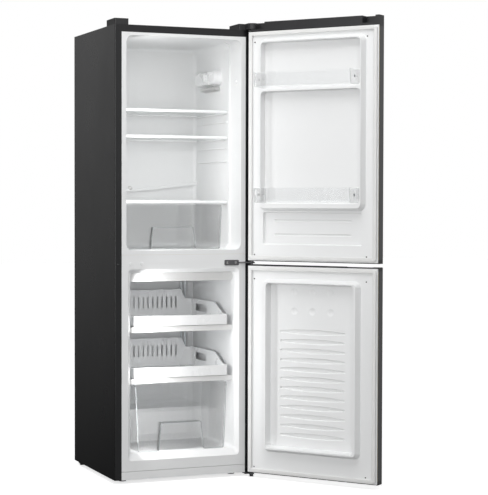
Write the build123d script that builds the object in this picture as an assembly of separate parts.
"""Free-standing two-door refrigerator: fridge above, freezer below, both doors hinged on the right.

Millimetres, +Z up. While a piece is drawn, x = 0 is the cabinet's centre plane, y = 0 its front plane
(the doors are at negative y) and z = 0 the floor. The doors are drawn shut, then swung open about
their hinge pins. Last, every piece is moved so that the origin is the bottom centre of the object.
"""

import os

from build123d import *

# ------------------------------------------------------------------ driving dimensions: cabinet
WIDTH = 540.0
DEPTH = 510.0
BODY_HEIGHT = 1660.0
FLOOR_GAP = 15.0          # the body stands this far above the floor
BASE_HEIGHT = 31.0        # hollow base behind the kick plate
SHEET = 1.0               # steel skin
BEND = 3.0                # outer bend of the side panels' front edges
FLANGE = 26.4             # steel frame seen around the front
LINER = 2.0               # thermoformed plastic
FIT = 0.2                 # side gap between neighbouring pieces that don't move
SEAM = 1.2                # open seam above the kick plate
NICHE_DEPTH = 180.0       # compressor niche, measured from the back
NICHE_HEIGHT = 180.0
# fridge compartment
FRIDGE_WIDTH = 451.0
FRIDGE_FLOOR = 853.8
FRIDGE_HEIGHT = 783.0
FRIDGE_RADIUS = 25.0
WALL_STEP = 7.5           # the walls step in behind the shelf fronts
STEP_Y = 105.0
ROOM_DEPTH = 455.0        # back wall of both compartments
# freezer compartment
FREEZER_WIDTH = 412.0
FREEZER_FLOOR = 107.8
FREEZER_HEIGHT = 663.7
BEVEL = 13.0              # bevelled frame around the freezer mouth
BEVEL_BOTTOM = 24.0
BEVEL_DEPTH = 16.0
HUMP_WALL = 38.0          # insulation between the niche and the freezer
FLANGE_SPLIT = 838.2      # seam between the two liners' front frames
RAIL_GROOVE = (-140.0, 152.0)
# shelves and drawers
SHELF_LEVELS = (1371.0, 1273.0)
COVER_LEVEL = 1029.0
RIB_LEVELS = (1338.0, 1239.0, 1189.0)
SHELF_FRONT = 112.0
SHELF_BACK = 425.0
GLASS = 4.0
EVAPORATOR_BANDS = ((739.0, 770.0), (551.0, 571.0), (362.0, 380.0))
DRAWER_FRONT = 30.0       # front faces of the freezer's baskets and drawer
BASKET_WIDTH = 372.0
BASKET_BACK = 412.0
BASKET_LIP = 38.0         # heights of its front, sides and back panel
BASKET_SIDE = 76.0
BASKET_REAR = 113.0
SLOT_PITCH = 19.5         # slots in the basket's back panel
SLOT_HALF = 3.0
SLOT_Z = (40.0, 85.0)
PLATE_BACK = 430.0        # rear edge of the cooling plates
PLATE_RISE = 13.0         # underside of a plate above its trim's lower edge
TRIM_SETBACK = 6.0        # the plates' front trims stand this far behind the baskets
PLASTIC = 2.2             # clear and white moulded walls
# lamp, switch and meltwater drain
LAMP_Y = (172.0, 402.0)
LAMP_Z = (1480.0, 1542.0)
LAMP_DEPTH = 30.0
LENS_Y = (196.0, 352.0)
LENS_Z = (1459.0, 1479.6)
LENS_DEPTH = 26.0
DIAL_Y = 262.0
DIAL_Z = 1511.0
DIAL_R = 15.0
SWITCH_Y = 46.0
SWITCH_Z = 1484.0
SWITCH_R = 6.0
DRAIN_X = -60.0
DRAIN_Y = 478.0
DRAIN_Z = 1083.0
DRAIN_R = 8.0
# doors
DOOR_GAP = 8.0            # between the cabinet's front plane and the door liners
DOOR_THICK = 45.0
DOOR_SKIN = 0.8
DOOR_EDGE_R = 8.0
DOOR_SPLIT = 805.5        # middle of the gap between the doors
DOORS_APART = 13.0
DOOR_BOTTOM = 18.0
DOOR_TOP = 1699.5
CAP = 14.0                # plastic end caps
TOP_CAP = 39.5
GASKET_WIDTH = 16.0
RIDGE_HEIGHT = 22.0       # raised frame on the door liners
RECESS = 8.0              # its panel lies this far behind the liner
FRAME_TAPER = 27.0        # slope of the frame's outer walls
UPPER_FRAME = (998.0, 1638.0)
UPPER_FRAME_HALF = 221.0
UPPER_RECESSES = ((1449.0, 1622.0), (1026.0, 1441.0))
UPPER_RECESS_HALF = 205.0
SPLASH_PANEL = (875.0, 995.3)
SPLASH_GROOVES = (912.0, 964.0)
SPLASH_GROOVE_HALF = 160.0
LOWER_FRAME = (103.0, 750.0)
LOWER_FRAME_HALF = 203.0
LOWER_RECESS = (121.0, 734.0)
LOWER_RECESS_HALF = 181.0
GROOVES = 12              # lens-shaped hollows across the freezer door's panel
GROOVE_PITCH = 34.8
GROOVE_LOW = 172.0
GROOVE_HALF = 134.0
GROOVE_RISE = 10.5
GROOVE_END = 4.0
GROOVE_DEPTH = 4.0
DIMPLES = [(x, z) for z in (631.0, 703.0) for x in (-75.0, 0.0, 75.0)]
DIMPLE_R = 40.0
DIMPLE_DEPTH = 2.5
BIN_HALF = 197.0
BIN_DEPTH = 91.0
BIN_HEIGHT = 54.0
# hinges
PIN_X = WIDTH / 2 - 9.1
PIN_Y = -22.6
PIN_R = 4.0
PIN_FIT = 0.06
PLATE = 3.0
OPEN_ANGLE = 126.6        # both doors as they stand
SCREW_R = 2.6             # clearance holes in the hinge plates
TOP_SCREWS = ((PIN_X - 26.9, 20), (PIN_X - 26.9, 62), (PIN_X - 4.9, 62))
MIDDLE_SCREWS = ((PIN_X - 90.9, DOOR_SPLIT), (PIN_X - 57.9, DOOR_SPLIT))
FOOT_SCREWS = ((PIN_X - 14.9, 52), (PIN_X + 1.1, 52))
COVER_HEIGHT = 22.0
COVER_WIDTH = 54.0
COVER_DEPTH = 100.0
# base and machinery
FOOT_X = WIDTH / 2 - 54.0
FOOT_Y = 75.0
FOOT_R = 15.0
STUD_R = 5.0
ROLLER_R = 14.0
ROLLER_Y = 470.0
ROLLER_X = WIDTH / 2 - 20.0
AXLE_R = 3.0
COMPRESSOR_X = 60.0
COMPRESSOR_Y = 425.0
COMPRESSOR_FEET = [(x, y) for x in (-80, 80) for y in (-50, 50)]
COIL_Y = DEPTH + 10
COIL_HALF = 215.0
COIL_LOW = 330.0
COIL_PITCH = 62.0
COIL_RUNS = 20

# ------------------------------------------------------------------ worked out from the above
HALF = WIDTH / 2
BOTTOM = FLOOR_GAP
TOP = FLOOR_GAP + BODY_HEIGHT
BASE = BOTTOM + BASE_HEIGHT
NICHE_Y = DEPTH - NICHE_DEPTH
NICHE_TOP = BOTTOM + NICHE_HEIGHT
FRAME_HALF = HALF - FLANGE - FIT
FRIDGE_TOP = FRIDGE_FLOOR + FRIDGE_HEIGHT
BACK_WIDTH = FRIDGE_WIDTH - 2 * WALL_STEP
FREEZER_TOP = FREEZER_FLOOR + FREEZER_HEIGHT
FREEZER_HALF = FREEZER_WIDTH / 2
HUMP_TOP = NICHE_TOP + HUMP_WALL
HUMP_Y = NICHE_Y - HUMP_WALL
LINER_Y = -DOOR_GAP
DOOR_FACE = -DOOR_GAP - DOOR_THICK
UPPER_Z = (DOOR_SPLIT + DOORS_APART / 2, DOOR_TOP)
LOWER_Z = (DOOR_BOTTOM, DOOR_SPLIT - DOORS_APART / 2)
UPPER_LINER = (UPPER_Z[0] + 3, DOOR_TOP - 36)
LOWER_LINER = (LOWER_Z[0] + 3, LOWER_Z[1] - 4.5)
RIM_Y = LINER_Y - 4.4     # back edge of the liners' rim, where the door skin ends
BIN_FLOORS = (1453.4, 1030.4)

pieces = {}


def keep(name, *shapes):
    """Record one node, whose separate solids are the shapes given."""
    solids = [solid for shape in shapes for solid in shape.solids()]
    pieces[name] = solids[0] if len(solids) == 1 else Compound(solids)


# ------------------------------------------------------------------ drawing helpers
def block(x, y, z):
    """Box between (low, high) pairs along x, y and z."""
    size = [high - low for low, high in (x, y, z)]
    middle = [(high + low) / 2 for low, high in (x, y, z)]
    return Pos(*middle) * Box(*size)


def soft_block(x, y, z, radius, axis=Axis.Z):
    """Box whose edges along one axis are rounded."""
    solid = block(x, y, z)
    return fillet(solid.edges().filter_by(axis), radius)


def prism(points, plane, low, high):
    """Polygon drawn on a plane and pushed from low to high along the plane's normal."""
    face = make_face(Polyline(*points, close=True))
    return extrude(plane.offset(low) * face, high - low)


def front_prism(points, y):
    """Polygon of (x, z) points pushed from y[0] to y[1]."""
    return prism(points, Plane.XZ, -y[1], -y[0])


def side_prism(points, x):
    """Polygon of (y, z) points pushed from x[0] to x[1]."""
    return prism(points, Plane.YZ, x[0], x[1])


def pad(width, z, radius, y, taper=0):
    """Rounded rectangle centred on x = 0, pushed from y[0] to y[1]; taper narrows it on the way."""
    face = Pos(0, (z[0] + z[1]) / 2) * RectangleRounded(width, z[1] - z[0], radius)
    if y[1] < y[0]:
        return extrude(Plane.XZ.offset(-y[0]) * face, y[0] - y[1], taper=taper)
    plane = Plane((0, y[0], 0), x_dir=(-1, 0, 0), z_dir=(0, 1, 0))
    return extrude(plane * face, y[1] - y[0], taper=taper)


def rod(start, end, radius):
    """Round bar between two points."""
    run = Vector(*end) - Vector(*start)
    return Solid.make_cylinder(radius, run.length, Plane(start, z_dir=run))


def pipe(points, radius, bend, bore=0.0):
    """Bent tube along a polyline with rounded corners."""
    path = FilletPolyline(*points, radius=bend)
    section = Plane(path @ 0, z_dir=path % 0) * Circle(radius)
    if bore:
        section -= Plane(path @ 0, z_dir=path % 0) * Circle(bore)
    return sweep(section, path=path)


# ------------------------------------------------------------------ steel shell
def top_flange(grow=0.0):
    """Front flange of the top panel, cut at 45 degrees where it meets the side panels."""
    low = TOP - FLANGE
    inner = HALF - FLANGE
    outer = HALF - BEND
    left = [(-outer - grow, TOP + grow), (-outer - grow, TOP - BEND - grow), (-inner - grow, low - grow)]
    points = left + [(-x, z) for x, z in reversed(left)]
    return front_prism(points, (0, SHEET))


def side_panel():
    """Left side: flat wall with a rounded front bend, a front flange and a narrow rear return."""
    outer = block((-HALF, -HALF + FLANGE), (0, DEPTH), (BOTTOM, TOP))
    outer = fillet(outer.edges().filter_by(Axis.Z).sort_by(Axis.X)[:2].sort_by(Axis.Y)[0], BEND)
    inner = block((-HALF + SHEET, 0), (SHEET, DEPTH - SHEET), (0, TOP + SHEET))
    inner = fillet(inner.edges().filter_by(Axis.Z).sort_by(Axis.X)[:2].sort_by(Axis.Y)[0], BEND - SHEET)
    rear_gap = block((-HALF + 12, 0), (DEPTH / 2, DEPTH + SHEET), (0, TOP + SHEET))
    return outer - inner - rear_gap - top_flange(FIT)


def top_panel():
    """Flat roof whose front flange fills the corner between the side panels' flanges."""
    inside = HALF - SHEET - FIT
    bent = HALF - BEND - FIT
    roof = block((-inside, inside), (BEND + FIT, DEPTH - SHEET - FIT), (TOP - SHEET, TOP))
    return roof + block((-bent, bent), (SHEET / 2, BEND + 1), (TOP - SHEET, TOP)) + top_flange()


def base_pan():
    """Steel floor that steps up over the compressor niche."""
    x = (-HALF + SHEET + FIT, HALF - SHEET - FIT)
    tray = block(x, (LINER + 0.5, NICHE_Y + SHEET), (BASE, BASE + SHEET))
    bulkhead = block(x, (NICHE_Y, NICHE_Y + SHEET), (BASE, NICHE_TOP + SHEET))
    roof = block(x, (NICHE_Y, DEPTH - 2 * SHEET), (NICHE_TOP, NICHE_TOP + SHEET))
    feet_x = (-FOOT_X, FOOT_X)
    nuts = [rod((foot_x, FOOT_Y, BASE - 10), (foot_x, FOOT_Y, BASE), STUD_R + 4) for foot_x in feet_x]
    holes = [rod((foot_x, FOOT_Y, BASE - 12), (foot_x, FOOT_Y, BASE + 5), STUD_R + PIN_FIT) for foot_x in feet_x]
    drain = rod((DRAIN_X, DRAIN_Y, NICHE_TOP - 5), (DRAIN_X, DRAIN_Y, NICHE_TOP + 5), DRAIN_R + FIT)
    return tray + bulkhead + roof + nuts - holes - drain


def back_panel():
    """Flat rear sheet behind the insulation, above the compressor niche."""
    inside = HALF - SHEET - FIT
    return block((-inside, inside), (DEPTH - 2 * SHEET, DEPTH - SHEET), (NICHE_TOP + FIT, TOP - SHEET - FIT))


def kick_plate():
    """Plastic strip that closes the base, with a stiffening lip along its top."""
    x = (-FRAME_HALF, FRAME_HALF)
    top = BASE - SEAM
    return block(x, (0, LINER), (BOTTOM, top)) + block(x, (0, 20), (top - LINER, top))


# ------------------------------------------------------------------ liners and insulation
def fridge_room(grow=0.0):
    """Air space of the fridge compartment, or the liner's outside when grown by its wall."""
    z = (FRIDGE_FLOOR - grow, FRIDGE_TOP + grow)
    front = pad(FRIDGE_WIDTH + 2 * grow, z, FRIDGE_RADIUS, (0, STEP_Y + grow))
    back = pad(BACK_WIDTH + 2 * grow, z, FRIDGE_RADIUS, (STEP_Y - 1, ROOM_DEPTH + grow))
    corners = [e for e in back.edges().filter_by(Axis.Z) if e.center().Y > ROOM_DEPTH - 1]
    return front + fillet(corners, 15)


def fridge_liner():
    """Room, front frame, the ribs and ledges for the shelves, and the meltwater gutter."""
    frame = block((-FRAME_HALF, FRAME_HALF), (0, LINER), (FLANGE_SPLIT + FIT, TOP - FLANGE - FIT))
    shell = frame + fridge_room(LINER) - fridge_room()
    wall = BACK_WIDTH / 2
    ribs = []
    for level in RIB_LEVELS:
        for side in (-1, 1):
            x = sorted((side * (wall - 5), side * (wall + 1)))
            ribs.append(soft_block(x, (STEP_Y + 12, SHELF_BACK - 5), (level - 5, level), 2, Axis.Y))
    for level in SHELF_LEVELS + (COVER_LEVEL,):
        for side in (-1, 1):
            x = sorted((side * (wall - 9), side * (wall + 1)))
            ribs.append(soft_block(x, (STEP_Y + 24, 440), (level - 6, level), 2, Axis.Y))
    gutter = []
    for end_x, end_z in ((-wall - 1, 1104.0), (wall + 1, 1112.0)):
        points = [(DRAIN_X, DRAIN_Z - 12), (end_x, end_z - 12), (end_x, end_z), (DRAIN_X, DRAIN_Z)]
        gutter.append(front_prism(points, (ROOM_DEPTH - 12, ROOM_DEPTH + 1)))
    hole = rod((DRAIN_X, ROOM_DEPTH - 20, DRAIN_Z + 4), (DRAIN_X, ROOM_DEPTH + 10, DRAIN_Z + 4), DRAIN_R + FIT)
    side = FRIDGE_WIDTH / 2
    pin = rod((side - 3, SWITCH_Y, SWITCH_Z), (side + 5, SWITCH_Y, SWITCH_Z), SWITCH_R + FIT)
    return shell + ribs + [part & fridge_room(LINER / 2) for part in gutter] - hole - pin


def freezer_room(grow=0.0):
    """Air space of the freezer with its bevelled mouth and the step over the compressor niche."""
    outer_z = (FREEZER_FLOOR - BEVEL_BOTTOM - grow, FREEZER_TOP + BEVEL + 1 + grow)
    inner_z = (FREEZER_FLOOR - grow, FREEZER_TOP + grow)
    outer_w = FREEZER_WIDTH + 2 * BEVEL + 2 * grow
    inner_w = FREEZER_WIDTH + 2 * grow
    mouth = Plane.XZ * Pos(0, sum(outer_z) / 2) * RectangleRounded(outer_w, outer_z[1] - outer_z[0], 14)
    throat = Plane.XZ.offset(-BEVEL_DEPTH) * Pos(0, sum(inner_z) / 2) * RectangleRounded(
        inner_w, inner_z[1] - inner_z[0], 10)
    bevel = loft([mouth, throat])
    room = pad(inner_w, inner_z, 10, (BEVEL_DEPTH - 0.01, ROOM_DEPTH + grow))
    hump = block((-HALF, HALF), (HUMP_Y + grow, DEPTH), (0, HUMP_TOP - grow))
    return bevel + (room - hump)


def evaporator_levels():
    """Underside of each cooling plate."""
    return [low + PLATE_RISE for low, _ in EVAPORATOR_BANDS]


def freezer_liner():
    """Room, front frame with a fine groove along the rail, and the ledges that carry the plates."""
    frame = block((-FRAME_HALF, FRAME_HALF), (0, LINER), (BASE, FLANGE_SPLIT - FIT))
    groove = block(RAIL_GROOVE, (-1, 0.9), (DOOR_SPLIT - 1.2, DOOR_SPLIT + 1.2))
    ledges = []
    for level in evaporator_levels():
        for side in (-1, 1):
            x = sorted((side * (FREEZER_HALF - 16), side * (FREEZER_HALF + 1)))
            ledges.append(soft_block(x, (DRAWER_FRONT + 12, 440), (level - 6, level), 2, Axis.Y))
    return frame + freezer_room(LINER) - freezer_room() + ledges - groove


def centre_rail():
    """Folded steel cross-member between the compartments, open at the back."""
    x = (-FRAME_HALF, FRAME_HALF)
    z = (FREEZER_TOP + BEVEL + 6, FLANGE_SPLIT - 5)
    y = (LINER + 0.3, 30)
    return block(x, y, z) - block(x, (y[0] + 1.5, y[1] + 1), (z[0] + 1.5, z[1] - 1.5))


def cabinet_foam():
    """Insulation that fills everything between the steel shell and the liners."""
    inside = HALF - SHEET - FIT
    body = block((-inside, inside), (LINER + 0.3, DEPTH - 2 * SHEET - 0.1), (BASE + SHEET + 0.1, TOP - SHEET - 0.1))
    niche = block((-HALF, HALF), (NICHE_Y - 0.1, DEPTH), (0, NICHE_TOP + SHEET + 0.1))
    rail = block((-HALF, HALF), (0, 30.2), (FREEZER_TOP + BEVEL + 5.8, FLANGE_SPLIT - 4.8))
    plate = block((-182, 182), (ROOM_DEPTH + LINER + 2.8, ROOM_DEPTH + LINER + 6.2), (1118, 1602))
    switch = rod((FRIDGE_WIDTH / 2, SWITCH_Y, SWITCH_Z), (FRIDGE_WIDTH / 2 + 21, SWITCH_Y, SWITCH_Z), SWITCH_R + 3)
    feet = [rod((side * FOOT_X, FOOT_Y, 0), (side * FOOT_X, FOOT_Y, BASE + 8), STUD_R + 1) for side in (-1, 1)]
    solid = body - niche - rail - fridge_room(LINER + 0.05) - freezer_room(LINER + 0.05)
    return solid - plate - switch - feet - drain_run(DRAIN_R + FIT)


# ------------------------------------------------------------------ fridge fittings
def glass_shelf(level):
    """Glass pane with its moulded front and rear trims, at the height of the pane's underside."""
    half = BACK_WIDTH / 2 - 2
    glass = block((-half + 1, half - 1), (SHELF_FRONT + 4, SHELF_BACK - 4), (level + 0.3, level + 0.3 + GLASS))
    front = soft_block((-half, half), (SHELF_FRONT, SHELF_FRONT + 14), (level - 2, level + 8), 2, Axis.X)
    rear = soft_block((-half, half), (SHELF_BACK - 18, SHELF_BACK), (level - 2, level + 12), 2, Axis.X)
    clear = [block(sorted((side * (half - 11), side * (half + 1))), (STEP_Y + 20, 450), (level - 9, level + 0.3))
             for side in (-1, 1)]
    return glass, (front + rear) - glass - clear


def drawer(top_half, bottom_half, y, z, notch, wall=PLASTIC):
    """Open box with sloping sides and a hand grip notched into the foot of its front."""
    def body(inset, roof):
        points = [(-bottom_half + inset, z[0] + inset), (bottom_half - inset, z[0] + inset),
                  (top_half - inset, roof), (-top_half + inset, roof)]
        solid = front_prism(points, (y[0] + inset, y[1] - inset))
        edges = [e for e in solid.edges() if abs(e.tangent_at(0).Z) > 0.9]
        return fillet(edges, 8 - inset)

    def grip(grow):
        low, high, height, depth = notch
        right = [(low + grow, z[0] - 5), (high + grow, height + grow)]
        solid = front_prism([(-x, level) for x, level in reversed(right)] + right, (y[0] - 5, y[0] + depth + grow))
        corners = [e for e in solid.edges().filter_by(Axis.Y) if e.center().Z > height - 1]
        return fillet(corners, 6)

    rim_z = (z[1] - 5, z[1])
    rim = soft_block((-top_half - 3, top_half + 3), (y[0], y[1] + 3), rim_z, 8)
    return (body(0, z[1]) - grip(0)) + rim - (body(wall, z[1] + 5) - grip(wall))


def lamp_parts():
    """Lamp and thermostat housing on the right wall, its lower lens and its bulb."""
    wall = BACK_WIDTH / 2
    plane = Plane((wall, 0, 0), x_dir=(0, 1, 0), z_dir=(-1, 0, 0))

    def pill(y, z, height, radius):
        face = Pos((y[0] + y[1]) / 2, -(z[0] + z[1]) / 2) * RectangleRounded(y[1] - y[0], z[1] - z[0], radius)
        return extrude(plane * face, height, taper=12)

    housing = pill(LAMP_Y, LAMP_Z, LAMP_DEPTH, 30)
    housing = fillet(housing.faces().sort_by(Axis.X)[0].edges(), 9)
    dial_hole = rod((wall - 40, DIAL_Y, DIAL_Z), (wall - 22, DIAL_Y, DIAL_Z), AXLE_R + PIN_FIT)
    lens = pill(LENS_Y, LENS_Z, LENS_DEPTH, 10)
    lens = fillet(lens.faces().sort_by(Axis.X)[0].edges(), 4)
    hollow_y, hollow_z = [(low + LINER, high - LINER) for low, high in (LENS_Y, LENS_Z)]
    bulb_z = sum(LENS_Z) / 2
    bulb = rod((wall - 10, LENS_Y[0] + 44, bulb_z), (wall - 10, LENS_Y[1] - 52, bulb_z), 6)
    return housing - dial_hole, lens - pill(hollow_y, hollow_z, LENS_DEPTH - LINER, 8), bulb


def thermostat_dial():
    """Disc with a bar grip across it and the shaft that enters the housing."""
    face = BACK_WIDTH / 2 - LAMP_DEPTH - 0.3
    disc = rod((face, DIAL_Y, DIAL_Z), (face - 7, DIAL_Y, DIAL_Z), DIAL_R)
    grip = block((face - 12, face - 6), (DIAL_Y - 2.5, DIAL_Y + 2.5), (DIAL_Z - DIAL_R + 1, DIAL_Z + DIAL_R - 1))
    shaft = rod((face, DIAL_Y, DIAL_Z), (face + 6, DIAL_Y, DIAL_Z), AXLE_R)
    return disc + grip + shaft


def door_switch():
    """Barrel behind the side wall and the plunger that stands out of it."""
    wall = FRIDGE_WIDTH / 2
    barrel = rod((wall + LINER, SWITCH_Y, SWITCH_Z), (wall + 20, SWITCH_Y, SWITCH_Z), SWITCH_R + 2)
    bore = rod((wall, SWITCH_Y, SWITCH_Z), (wall + 16, SWITCH_Y, SWITCH_Z), SWITCH_R)
    plunger = rod((wall - 6, SWITCH_Y, SWITCH_Z), (wall + 10, SWITCH_Y, SWITCH_Z), SWITCH_R - PIN_FIT)
    return barrel - bore, fillet(plunger.edges().sort_by(Axis.X)[0], 2)


# ------------------------------------------------------------------ freezer fittings
def evaporators():
    """Three cooling plates with tubes under them, the risers that join them, and the fridge's cold plate."""
    levels = evaporator_levels()
    solids = []
    for level in levels:
        plate = block((-FREEZER_HALF + 6, FREEZER_HALF - 6), (DRAWER_FRONT + 8, PLATE_BACK), (level, level + 3))
        solids.append(plate + [rod((-175, y, level - 2), (175, y, level - 2), 4) for y in range(70, 430, 45)])
    for x in (150, 166):
        riser = rod((x, PLATE_BACK + 8, levels[-1] - 2), (x, PLATE_BACK + 8, levels[0] + 1), 4)
        stubs = [block((x - 3, x + 3), (PLATE_BACK, PLATE_BACK + 8), (level, level + 3)) for level in levels]
        solids.append(riser + stubs)
    solids.append(block((-180, 180), (ROOM_DEPTH + LINER + 3, ROOM_DEPTH + LINER + 6), (1120, 1600)))
    return solids


def evaporator_trim(band):
    """White strip clipped over a cooling plate's front edge."""
    half = FREEZER_HALF - 1.5
    front = DRAWER_FRONT + TRIM_SETBACK
    return soft_block((-half, half), (front, front + 2), band, 3, Axis.Y)


def basket(floor):
    """White basket: low front lip, sides that climb to a slotted back panel."""
    def hull(inset, roof):
        front, back, half = DRAWER_FRONT + inset, BASKET_BACK - inset, BASKET_WIDTH / 2 - inset
        profile = [(front, inset), (front, roof + BASKET_LIP), (81, roof + BASKET_LIP), (163, roof + BASKET_SIDE),
                   (back, roof + BASKET_SIDE), (back, inset)]
        solid = side_prism(profile, (-half, half))
        return fillet(solid.edges().filter_by(Axis.Z), 10 - inset)

    shell = hull(0, 0) - hull(PLASTIC, 60)
    shell += front_prism([(-160, BASKET_SIDE - 5), (160, BASKET_SIDE - 5), (138, BASKET_REAR), (-138, BASKET_REAR)],
                         (BASKET_BACK - PLASTIC, BASKET_BACK))
    slot = soft_block((-SLOT_HALF, SLOT_HALF), (BASKET_BACK - 5, BASKET_BACK + 5), SLOT_Z, SLOT_HALF - 0.2, Axis.Y)
    slots = [Pos(SLOT_PITCH * n, 0, 0) * slot for n in range(-6, 7)]
    windows = [soft_block(x, (247, 367), (30, 58), 4, Axis.X) for x in ((-200, -150), (150, 200))]
    return Pos(0, 0, floor) * (shell - slots - windows)


# ------------------------------------------------------------------ doors, drawn shut
def finger_grip(z, y):
    """Scoop near the free end of the facing door edges."""
    return soft_block((35 - HALF, 145 - HALF), y, z, 8, Axis.Y)


def door_skin(z):
    """Steel front sheet wrapped round both long edges."""
    outer = block((-HALF, HALF), (DOOR_FACE, RIM_Y), z)
    outer = fillet(outer.edges().filter_by(Axis.Z).sort_by(Axis.Y)[:2], DOOR_EDGE_R)
    inner = block((-HALF + DOOR_SKIN, HALF - DOOR_SKIN), (DOOR_FACE + DOOR_SKIN, 0), z)
    inner = fillet(inner.edges().filter_by(Axis.Z).sort_by(Axis.Y)[:2], DOOR_EDGE_R - DOOR_SKIN)
    return outer - inner


def cap_block(z, back=RIM_Y):
    solid = block((-HALF, HALF), (DOOR_FACE, back), z)
    return fillet(solid.edges().filter_by(Axis.Z).sort_by(Axis.Y)[:2], DOOR_EDGE_R)


def bush(z):
    """Blind hole that turns on a hinge pin."""
    return rod((PIN_X, PIN_Y, z[0]), (PIN_X, PIN_Y, z[1]), PIN_R + PIN_FIT)


def raised_frame(half, z, radius, inset):
    """Frame pressed out of a door liner; inset shrinks it by the liner's wall."""
    y = (LINER_Y - 3, LINER_Y + RIDGE_HEIGHT - inset)
    return pad(2 * (half - inset), (z[0] + inset, z[1] - inset), radius, y, FRAME_TAPER)


def recess(half, z, radius, grow, depth=RECESS, top=RIDGE_HEIGHT, taper=10):
    """Hollow pressed back into a door liner, from the frame's crest down to its floor."""
    y = (LINER_Y + top + 1, LINER_Y - depth - grow)
    return pad(2 * (half + grow), (z[0] - grow, z[1] + grow), radius, y, taper)


def lens_groove(z, floor, grow):
    """Long lens-shaped hollow with blunt ends across the freezer door's panel."""
    half, rise, end = GROOVE_HALF + grow, GROOVE_RISE + grow, GROOVE_END + grow
    outline = [ThreePointArc((-half, z + end), (0, z + rise), (half, z + end)),
               Line((half, z + end), (half, z - end)),
               ThreePointArc((half, z - end), (0, z - rise), (-half, z - end)),
               Line((-half, z - end), (-half, z + end))]
    face = Plane.XZ.offset(-floor - 1) * make_face(outline)
    return extrude(face, 1 + GROOVE_DEPTH + grow, taper=25)


def liner_and_foam(z, relief, core_z):
    """Thermoformed door liner and the foam behind it; relief(inset) gives its frame and its hollows."""
    frame, hollows = relief(0)
    inner_frame, outer_hollows = relief(LINER)
    rim = HALF - 1.5
    inner_rim = rim - 2.5
    inner_z = (z[0] + 2.5, z[1] - 2.5)
    behind = block((-HALF, HALF), (-DOOR_THICK, RIM_Y + 0.1), (0, DOOR_TOP))
    filling = block((-inner_rim, inner_rim), (RIM_Y - 1, LINER_Y - LINER), inner_z) + inner_frame
    pans = outer_hollows[0]
    for hollow in outer_hollows[1:]:
        pans += hollow
    liner = block((-rim, rim), (RIM_Y, LINER_Y), z) + frame - (filling - pans) + (pans & behind) - hollows
    core = block((-HALF + 1, HALF - 1), (DOOR_FACE + 1, RIM_Y - 0.1), core_z)
    core = fillet(core.edges().filter_by(Axis.Z).sort_by(Axis.Y)[:2], DOOR_EDGE_R - 1)
    neck_z = (max(z[0], core_z[0]) + 3, min(z[1], core_z[1]) - 3)
    neck = block((-inner_rim, inner_rim), (RIM_Y - 1, RIM_Y + 0.2), neck_z)
    return liner, core + neck + (filling - behind) - pans


def gasket(z):
    half = HALF - 4.7
    y = (LINER_Y, -0.8)
    ring = soft_block((-half, half), y, z, 6, Axis.Y)
    hole = soft_block((-half + GASKET_WIDTH, half - GASKET_WIDTH), (y[0] - 1, y[1] + 1),
                      (z[0] + GASKET_WIDTH, z[1] - GASKET_WIDTH), 3, Axis.Y)
    return ring - hole


def door_bin(floor):
    """Clear bin hooked in the door's recess, front leaning outwards."""
    back = LINER_Y - RECESS + 3
    front = back + BIN_DEPTH

    def hull(inset, roof):
        points = [(back + inset, inset), (front - 7 - inset, inset), (front - inset, roof), (back + inset, roof)]
        half = BIN_HALF - inset
        solid = side_prism(points, (-half, half))
        edges = [e for e in solid.edges() if abs(e.tangent_at(0).X) < 0.1 and e.center().Y > back + 20
                 and abs(e.tangent_at(0).Z) > 0.6]
        front_view = pad(2 * half, (inset, 2 * BIN_HEIGHT), 10 - inset, (back - 1, front + 5))
        return fillet(edges, 8 - inset) & front_view

    shell = hull(0, BIN_HEIGHT) - hull(PLASTIC, BIN_HEIGHT + 5)
    return Pos(0, 0, floor) * shell


def upper_relief(inset):
    """Raised frame and hollows of the fridge door's liner."""
    floor = LINER_Y - RECESS
    hollows = [recess(UPPER_RECESS_HALF, z, 16, inset, taper=4) for z in UPPER_RECESSES]
    hollows.append(recess(UPPER_RECESS_HALF, SPLASH_PANEL, 8, inset, top=0, taper=20))
    for z in SPLASH_GROOVES:
        groove_z = (z - 5 - inset, z + 5 + inset)
        groove_y = (floor + 1, floor - 3 - inset)
        hollows.append(pad(2 * (SPLASH_GROOVE_HALF + inset), groove_z, 4 + inset, groove_y, 30))
    return raised_frame(UPPER_FRAME_HALF, UPPER_FRAME, 30, inset), hollows


def lower_relief(inset):
    """Raised frame, grooves and dimples of the freezer door's liner."""
    floor = LINER_Y - RECESS
    hollows = [recess(LOWER_RECESS_HALF, LOWER_RECESS, 14, inset)]
    hollows += [lens_groove(GROOVE_LOW + GROOVE_PITCH * n, floor, inset) for n in range(GROOVES)]
    ball = Pos(0, DIMPLE_R - DIMPLE_DEPTH, 0) * Sphere(DIMPLE_R + inset) & block((-30, 30), (-9, 1), (-30, 30))
    hollows += [Pos(x, floor, z) * ball for x, z in DIMPLES]
    return raised_frame(LOWER_FRAME_HALF, LOWER_FRAME, 26, inset), hollows


# ------------------------------------------------------------------ hinges and covers
def top_hinge():
    plate = soft_block((HALF - 45, HALF - 4), (8, 75), (TOP, TOP + PLATE), 4)
    arm = block((HALF - 22.5, HALF - 2.5), (PIN_Y, 20), (TOP, TOP + PLATE)) + rod(
        (PIN_X, PIN_Y, TOP), (PIN_X, PIN_Y, TOP + PLATE), 13)
    arm &= block((0, HALF - 2.5), (-60, 60), (TOP, TOP + PLATE))
    pin = rod((PIN_X, PIN_Y, TOP - 12), (PIN_X, PIN_Y, TOP), PIN_R)
    holes = [rod((x, y, TOP - 1), (x, y, TOP + 5), SCREW_R) for x, y in TOP_SCREWS]
    return plate + arm + pin - holes


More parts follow.
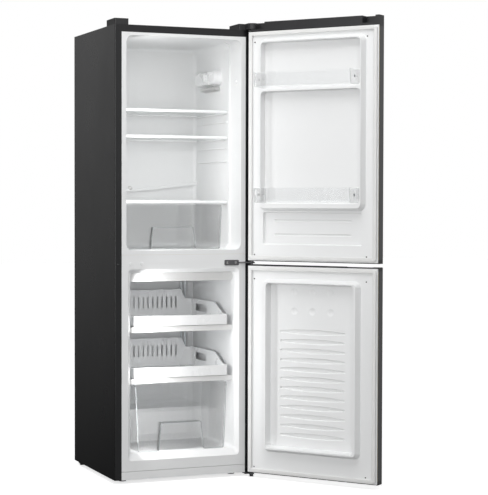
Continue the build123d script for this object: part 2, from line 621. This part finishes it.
def middle_hinge():
    """Plate screwed to the cross rail whose arm carries both doors' pins."""
    z = (DOOR_SPLIT - 10, DOOR_SPLIT + 10.5)
    plate = soft_block((HALF - 111, HALF - 54), (-PLATE, 0), z, 4, Axis.Y)
    neck = block((HALF - 60, HALF - 27), (-PLATE, 0), (DOOR_SPLIT - 2, DOOR_SPLIT + 3))
    outline = [(HALF - 56, 0), (HALF - 27, 0), (HALF - 1, PIN_Y + 8), (HALF - 1, PIN_Y - 9), (PIN_X - 8, PIN_Y - 12),
               (HALF - 34, -12)]
    arm = prism(outline, Plane.XY, DOOR_SPLIT - 2, DOOR_SPLIT + 3)
    pin = rod((PIN_X, PIN_Y, LOWER_Z[1] - 10), (PIN_X, PIN_Y, UPPER_Z[0] + 10), PIN_R)
    collar = rod((PIN_X, PIN_Y, DOOR_SPLIT + 3), (PIN_X, PIN_Y, UPPER_Z[0] - 0.3), 7)
    holes = [rod((x, -PLATE - 1, z0), (x, 1, z0), SCREW_R) for x, z0 in MIDDLE_SCREWS]
    return plate + neck + arm + pin + collar - holes


def bottom_hinge():
    """Bracket under the body with the lower door's pin and a hexagonal adjuster below it."""
    plate = block((HALF - 34, HALF - 2), (PIN_Y, 62), (BOTTOM - PLATE - FIT, BOTTOM - FIT)) + rod(
        (PIN_X, PIN_Y, BOTTOM - PLATE - FIT), (PIN_X, PIN_Y, BOTTOM - FIT), 13)
    plate &= block((0, HALF - 2), (-60, 90), (0, 60))
    riser = block((HALF - 32, HALF - 3), (42, 62), (BOTTOM - FIT, BASE))
    pin = rod((PIN_X, PIN_Y, BOTTOM - FIT), (PIN_X, PIN_Y, DOOR_BOTTOM + 11), PIN_R)
    collar = rod((PIN_X, PIN_Y, BOTTOM - FIT), (PIN_X, PIN_Y, DOOR_BOTTOM - 0.3), 7)
    nut = extrude(Pos(PIN_X, PIN_Y, 2.5) * RegularPolygon(8, 6), BOTTOM - PLATE - FIT - 2.5)
    holes = [rod((x, y, BOTTOM - 5), (x, y, BOTTOM + 8), SCREW_R) for x, y in FOOT_SCREWS]
    return plate + riser + pin + collar + nut - holes


def hinge_screws():
    """Round-headed screws with a cross recess, each with its shank in the plate."""
    def screw(origin, direction, head=2.2, shank=PLATE):
        plane = Plane(origin, z_dir=direction)
        solid = Solid.make_cylinder(4.6, head, plane) + Solid.make_cylinder(2.55, shank, Plane(
            origin, z_dir=tuple(-d for d in direction)))
        cross = plane * Pos(0, 0, head) * (Box(4.4, 1.1, 2) + Box(1.1, 4.4, 2))
        return solid - cross

    tops = [screw((x, y, TOP + PLATE), (0, 0, 1)) for x, y in TOP_SCREWS]
    fronts = [screw((x, -PLATE, z), (0, -1, 0)) for x, z in MIDDLE_SCREWS]
    unders = [screw((x, y, BOTTOM - PLATE - FIT), (0, 0, -1), shank=PLATE + 4) for x, y in FOOT_SCREWS]
    return tops + fronts + unders


def hinge_cover(with_nose):
    """Moulded cover on the right front corner; only the working side has a nose over the pin."""
    def hull(inset):
        x = (HALF - COVER_WIDTH + inset, HALF - inset)
        z = (TOP - inset, TOP + COVER_HEIGHT - inset)
        solid = soft_block(x, (1 + inset, COVER_DEPTH - inset), z, 5)
        if with_nose:
            solid += block((PIN_X - 20 + inset, HALF - inset), (PIN_Y, 10), z)
            nose = rod((PIN_X, PIN_Y, z[0]), (PIN_X, PIN_Y, z[1]), 20 - inset)
            solid += nose & block((0, HALF - inset), (-60, 60), z)
        return solid

    return hull(0) - hull(LINER)


# ------------------------------------------------------------------ base and machinery
def levelling_foot(x):
    """Flat disc on a threaded stud."""
    disc = rod((x, FOOT_Y, 0), (x, FOOT_Y, 8), FOOT_R)
    disc = fillet(disc.edges(), 2)
    return disc + rod((x, FOOT_Y, 8), (x, FOOT_Y, BASE - 2), STUD_R)


def compressor_plate():
    """Cross plate in the niche, with forks and axle pins for the rear rollers."""
    half = HALF - SHEET - 1
    plate = block((-half, half), (NICHE_Y + 12, DEPTH - 12), (30, 32))
    parts = []
    for side in (-1, 1):
        for offset in (-12, 12):
            x = side * ROLLER_X + offset
            parts.append(block((x - 1, x + 1), (ROLLER_Y - 9, ROLLER_Y + 9), (ROLLER_R - 6, 31)))
        axle = [(side * ROLLER_X + offset, ROLLER_Y, ROLLER_R) for offset in (-12, 12)]
        parts.append(rod(*axle, AXLE_R))
        parts.append(block(sorted((side * (half - 1.5), side * half)), (NICHE_Y + 20, DEPTH - 20), (31, 60)))
    wells = [block((side * ROLLER_X - 10.5, side * ROLLER_X + 10.5), (ROLLER_Y - 17, ROLLER_Y + 17), (29, 33))
             for side in (-1, 1)]
    return plate + parts - wells


def roller(side):
    """Wheel bored for its axle pin."""
    x = side * ROLLER_X
    wheel = rod((x - 9, ROLLER_Y, ROLLER_R), (x + 9, ROLLER_Y, ROLLER_R), ROLLER_R)
    bore = rod((x - 10, ROLLER_Y, ROLLER_R), (x + 10, ROLLER_Y, ROLLER_R), AXLE_R + PIN_FIT)
    return fillet(wheel.edges(), 1.5) - bore


def compressor():
    """Welded steel shell, domed top and bottom, on a footed base."""
    centre = Pos(COMPRESSOR_X, COMPRESSOR_Y)
    face = Pos(0, 0) * RectangleRounded(160, 128, 60)
    shell = centre * Pos(0, 0, 52) * extrude(face, 104)
    shell = fillet(shell.faces().sort_by(Axis.Z)[0].edges() + shell.faces().sort_by(Axis.Z)[-1].edges(), 28)
    base = centre * Pos(0, 0, 46) * Box(190, 116, 3)
    neck = centre * Pos(0, 0, 47) * extrude(RectangleRounded(110, 80, 30), 14)
    feet = [centre * Pos(x, y, 45) * Cylinder(5, 6) for x, y in COMPRESSOR_FEET]
    return shell + base + neck - feet


def grommets():
    """Rubber feet between the compressor's base and its plate."""
    ring = Cylinder(10, 12) - Cylinder(3, 14)
    return [Pos(COMPRESSOR_X + x, COMPRESSOR_Y + y, 38.2) * ring for x, y in COMPRESSOR_FEET]


def terminal_box():
    """Relay cover on the compressor's side with the gland where the supply enters."""
    x = COMPRESSOR_X - 81
    box = soft_block((x - 34, x), (COMPRESSOR_Y - 32, COMPRESSOR_Y + 32), (78, 132), 5, Axis.X)
    gland = rod((x - 20, COMPRESSOR_Y + 30, 92), (x - 20, COMPRESSOR_Y + 42, 92), 7)
    return box + gland - rod((x - 20, COMPRESSOR_Y + 25, 92), (x - 20, COMPRESSOR_Y + 50, 92), 4)


def drip_tray():
    """Shallow tray on top of the compressor where the meltwater dries up."""
    x = (COMPRESSOR_X - 150, COMPRESSOR_X + 80)
    y = (COMPRESSOR_Y - 60, COMPRESSOR_Y + 66)
    outer = soft_block(x, y, (157, 180), 12)
    inner = soft_block((x[0] + 2, x[1] - 2), (y[0] + 2, y[1] - 2), (159, 190), 10)
    return outer - inner


def drain_run(radius, bore=0.0):
    """Run of the meltwater tube from the gutter to the drip tray."""
    high = DRAIN_Z + 4
    points = [(DRAIN_X, ROOM_DEPTH - 2, high), (DRAIN_X, DRAIN_Y, high), (DRAIN_X, DRAIN_Y, NICHE_TOP - 12)]
    return pipe(points, radius, 12, bore)


def condenser_coil():
    """Serpentine tube on the back, held off the panel by four brackets."""
    points = []
    for run in range(COIL_RUNS):
        side = 1 if run % 2 == 0 else -1
        z = COIL_LOW + COIL_PITCH * run
        points += [(side * COIL_HALF, COIL_Y, z), (-side * COIL_HALF, COIL_Y, z)]
    coil = pipe(points, 2.5, 24)
    high = COIL_LOW + COIL_PITCH * (COIL_RUNS - 1)
    brackets = []
    for x in (-150, 150):
        for z in (COIL_LOW + COIL_PITCH, high - COIL_PITCH):
            brackets.append(block((x - 9, x + 9), (DEPTH - SHEET, COIL_Y), (z - 1, z + 1)))
    return coil + brackets


def refrigerant_pipes():
    """Compressor's discharge and suction lines, and the drier that the condenser drains into."""
    shell_x, low = COMPRESSOR_X + 80.1, 95
    discharge = pipe([(shell_x, COMPRESSOR_Y, low), (shell_x + 40, COMPRESSOR_Y, low), (shell_x + 40, COIL_Y, low),
                      (shell_x + 40, COIL_Y, COIL_LOW - 40), (COIL_HALF - 12, COIL_Y, COIL_LOW - 40)], 3, 14)
    suction = pipe([(shell_x - 2, COMPRESSOR_Y + 20, low - 15), (shell_x + 60, COMPRESSOR_Y + 20, low - 15),
                    (shell_x + 60, COMPRESSOR_Y + 20, NICHE_TOP)], 3, 14)
    drier = fillet(rod((-150, COIL_Y - 30, 80), (-150, COIL_Y - 30, 150), 8).edges(), 4)
    capillary = pipe([(-150, COIL_Y - 30, 149), (-150, COIL_Y - 30, 165), (-200, COIL_Y - 30, 165),
                      (-200, COIL_Y - 30, NICHE_TOP)], 2, 8)
    return discharge, suction, drier + capillary


# ------------------------------------------------------------------ build every piece
for side, name in ((1, "side_panel_left"), (-1, "side_panel_right")):
    keep(name, side_panel() if side == 1 else mirror(side_panel(), about=Plane.YZ))
keep("top_panel", top_panel())
keep("back_panel", back_panel())
keep("base_pan", base_pan())
keep("kick_plate", kick_plate())
keep("fridge_liner", fridge_liner())
keep("freezer_liner", freezer_liner())
keep("centre_rail", centre_rail())
keep("cabinet_foam", cabinet_foam())
keep("rail_plugs", *[fillet(rod((x, -1.5, DOOR_SPLIT), (x, 0, DOOR_SPLIT), 6.5).edges().sort_by(Axis.Y)[0], 1)
                     for x in (-208.5, -166)])

# fridge fittings
for name, level in zip(("shelf_upper", "shelf_lower"), SHELF_LEVELS):
    glass, trims = glass_shelf(level)
    keep(name + "_glass", glass)
    keep(name + "_trims", trims)
glass, trims = glass_shelf(COVER_LEVEL)
keep("crisper_cover_glass", glass)
keep("crisper_cover_trims", trims)
keep("crisper", drawer(196, 189, (120, 430), (FRIDGE_FLOOR + 1, 1020), (89, 80, 937, 18)))
housing, lens, bulb = lamp_parts()
keep("lamp_housing", housing)
keep("lamp_lens", lens)
keep("lamp_bulb", bulb)
keep("thermostat_dial", thermostat_dial())
barrel, plunger = door_switch()
keep("door_switch_body", barrel)
keep("door_switch_plunger", plunger)

# freezer fittings
keep("evaporators", *evaporators())
keep("evaporator_trims", *[evaporator_trim(band) for band in EVAPORATOR_BANDS])
keep("basket_upper", basket(EVAPORATOR_BANDS[1][1] + 2))
keep("basket_lower", basket(EVAPORATOR_BANDS[2][1] + 2))
keep("freezer_drawer", drawer(181, 170, (DRAWER_FRONT, HUMP_Y - 8), (FREEZER_FLOOR + 1, 356), (89, 78, 213, 20)))

# base and machinery
keep("foot_left", levelling_foot(-FOOT_X))
keep("foot_right", levelling_foot(FOOT_X))
keep("compressor_plate", compressor_plate())
keep("rear_rollers", roller(-1), roller(1))
keep("compressor", compressor())
keep("compressor_grommets", *grommets())
keep("terminal_box", terminal_box())
keep("drip_tray", drip_tray())
keep("drain_tube", drain_run(DRAIN_R, DRAIN_R - 2))
keep("condenser_coil", condenser_coil())
keep("refrigerant_pipes", *refrigerant_pipes())

# hinges and covers
keep("top_hinge", top_hinge())
keep("middle_hinge", middle_hinge())
keep("bottom_hinge", bottom_hinge())
keep("hinge_screws", *hinge_screws())
keep("hinge_cover_right", hinge_cover(True))
keep("hinge_cover_left", mirror(hinge_cover(False), about=Plane.YZ))

# upper door
door = {}
low, high = UPPER_Z
door["skin"] = door_skin((low + CAP, high - TOP_CAP))
bottom_cap = cap_block((low, low + CAP)) - finger_grip((low - 10, low + 11), (DOOR_FACE - 1, DOOR_FACE + 26))
door["bottom_cap"] = bottom_cap - bush((low - 1, low + 12))
top_cap = cap_block((high - TOP_CAP, high)) + cap_block((high - 35, high), -9.0)
notch_z = (TOP - 2, high + 1)
working = block((HALF - 68, HALF + 1), (DOOR_FACE + 8, 0), notch_z)
spare = block((16 - HALF, 68 - HALF), (DOOR_FACE + 8, 0), notch_z)
door["top_cap"] = top_cap - working - spare - bush((TOP - 13, TOP))
door["liner"], door["foam"] = liner_and_foam(UPPER_LINER, upper_relief, (low + CAP + 0.1, high - TOP_CAP - 0.1))
door["gasket"] = gasket((UPPER_Z[0] + 6, UPPER_LINER[1]))
for name, floor in zip(("bin_upper", "bin_lower"), BIN_FLOORS):
    door[name] = door_bin(floor)

# lower door
cold = {}
low, high = LOWER_Z
cold["skin"] = door_skin((low + CAP, high - CAP))
top_cap = cap_block((high - CAP, high)) - finger_grip((high - 11, high + 10), (DOOR_FACE - 1, DOOR_FACE + 26))
cold["top_cap"] = top_cap - bush((high - 12, high + 1))
cold["bottom_cap"] = cap_block((low, low + CAP)) - bush((low - 1, low + 12))
cold["liner"], cold["foam"] = liner_and_foam(LOWER_LINER, lower_relief, (low + CAP + 0.1, high - CAP - 0.1))
cold["gasket"] = gasket((LOWER_LINER[0] + 1, LOWER_LINER[1] - 1.5))

# ------------------------------------------------------------------ swing the doors open and write the files
OPENED = Pos(PIN_X, PIN_Y, 0) * Rot(0, 0, OPEN_ANGLE) * Pos(-PIN_X, -PIN_Y, 0)
for prefix, group in (("upper_door", door), ("lower_door", cold)):
    for name, shape in group.items():
        keep(name if name.startswith("bin") else f"{prefix}_{name}", OPENED * shape)

boxes = [piece.bounding_box() for piece in pieces.values()]
low_corner = [min(tuple(box.min)[axis] for box in boxes) for axis in range(3)]
high_corner = [max(tuple(box.max)[axis] for box in boxes) for axis in range(3)]
SHIFT = (-(low_corner[0] + high_corner[0]) / 2, -(low_corner[1] + high_corner[1]) / 2, -low_corner[2])

if __name__ == "__main__":
    os.makedirs("parts", exist_ok=True)
    for name, piece in pieces.items():
        export_step(Pos(*SHIFT) * piece, f"parts/{name}.step")
    print(len(pieces), "nodes; low corner", low_corner, "high corner", high_corner)
